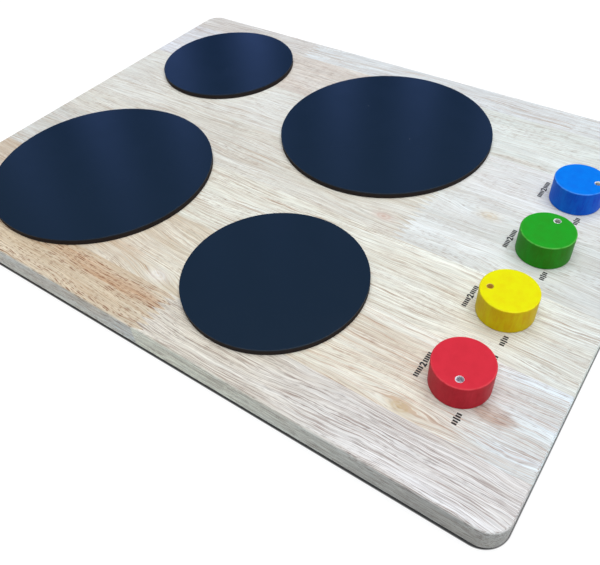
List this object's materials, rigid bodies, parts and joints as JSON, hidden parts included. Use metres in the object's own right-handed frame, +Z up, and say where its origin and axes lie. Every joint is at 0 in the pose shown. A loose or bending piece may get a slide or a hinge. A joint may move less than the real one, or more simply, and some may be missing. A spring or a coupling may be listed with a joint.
{
  "type": "toy cooktop",
  "caption": "Play hob for a child: a finger-jointed wooden panel with large and small burner discs and coloured knobs with a marker hole, each turning on a screw from below.",
  "frame": {"origin": "centre of the panel's outline, on the surface that the foot pads stand on", "axes": "+X along the long side towards the knobs, +Y to the back, +Z up"},
  "size_m": [0.48, 0.36, 0.0375],
  "materials": {
    "wood": "bare sanded rubberwood, edge-glued and finger-jointed",
    "burner_black": "satin blue-black lacquer on thin fibreboard",
    "paint_red": "satin red paint on turned wood",
    "paint_yellow": "satin yellow paint on turned wood",
    "paint_green": "satin green paint on turned wood",
    "paint_blue": "satin blue paint on turned wood",
    "steel": "zinc-plated steel",
    "foot_pad": "thin stick-on rubber"
  },
  "bodies": {
    "cooktop": {"stave_1_left": "wood", "stave_1_right": "wood", "stave_2_left": "wood", "stave_2_right": "wood", "stave_3_left": "wood", "stave_3_right": "wood", "stave_4_left": "wood", "stave_4_right": "wood", "stave_5_left": "wood", "stave_5_middle": "wood", "stave_5_right": "wood", "stave_6_left": "wood", "stave_6_middle": "wood", "stave_6_right": "wood", "stave_7_left": "wood", "stave_7_middle": "wood", "stave_7_right": "wood", "burner_rear_left": "burner_black", "burner_rear_right": "burner_black", "burner_front_left": "burner_black", "burner_front_right": "burner_black", "washer_red": "steel", "washer_yellow": "steel", "washer_green": "steel", "washer_blue": "steel", "foot_front_left": "foot_pad", "foot_front_right": "foot_pad", "foot_rear_left": "foot_pad", "foot_rear_right": "foot_pad"},
    "knob_red_body": {"knob_red": "paint_red", "screw_red": "steel"},
    "knob_yellow_body": {"knob_yellow": "paint_yellow", "screw_yellow": "steel"},
    "knob_green_body": {"knob_green": "paint_green", "screw_green": "steel"},
    "knob_blue_body": {"knob_blue": "paint_blue", "screw_blue": "steel"}
  },
  "joints": [
    {"name": "turn_red", "type": "hinge", "parent": "cooktop", "child": "knob_red_body", "pos_m": [0.185, -0.1105, 0.0195], "axis": [0, 0, 1], "continuous": true},
    {"name": "turn_yellow", "type": "hinge", "parent": "cooktop", "child": "knob_yellow_body", "pos_m": [0.185, -0.0495, 0.0195], "axis": [0, 0, 1], "continuous": true},
    {"name": "turn_green", "type": "hinge", "parent": "cooktop", "child": "knob_green_body", "pos_m": [0.185, 0.0115, 0.0195], "axis": [0, 0, 1], "continuous": true},
    {"name": "turn_blue", "type": "hinge", "parent": "cooktop", "child": "knob_blue_body", "pos_m": [0.185, 0.0725, 0.0195], "axis": [0, 0, 1], "continuous": true}
  ]
}
